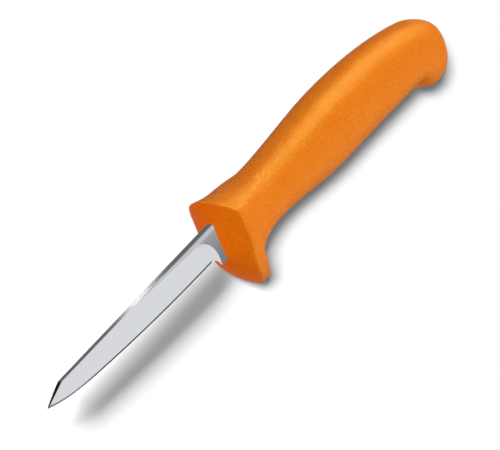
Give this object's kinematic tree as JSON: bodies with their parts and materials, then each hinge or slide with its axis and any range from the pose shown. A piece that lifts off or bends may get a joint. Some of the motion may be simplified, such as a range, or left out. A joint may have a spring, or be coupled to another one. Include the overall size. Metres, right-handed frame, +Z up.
{
  "type": "poultry knife",
  "caption": "Small poultry knife: narrow flat-ground steel blade with a clipped tip, in a moulded orange grip with a finger guard, waisted neck and hooked rounded butt.",
  "frame": {"origin": "centre of the bounding box's underside, with the knife lying on its side", "axes": "+X from the tip to the butt, +Y from the cutting edge to the spine, +Z up across the thickness"},
  "size_m": [0.1972, 0.033, 0.0178],
  "materials": {
    "blade_steel": "ground and polished",
    "core_plastic": "as moulded",
    "grip_plastic": "fine matte grain"
  },
  "bodies": {
    "root": {"blade": "blade_steel", "handle_core": "core_plastic", "grip": "grip_plastic"}
  },
  "joints": []
}
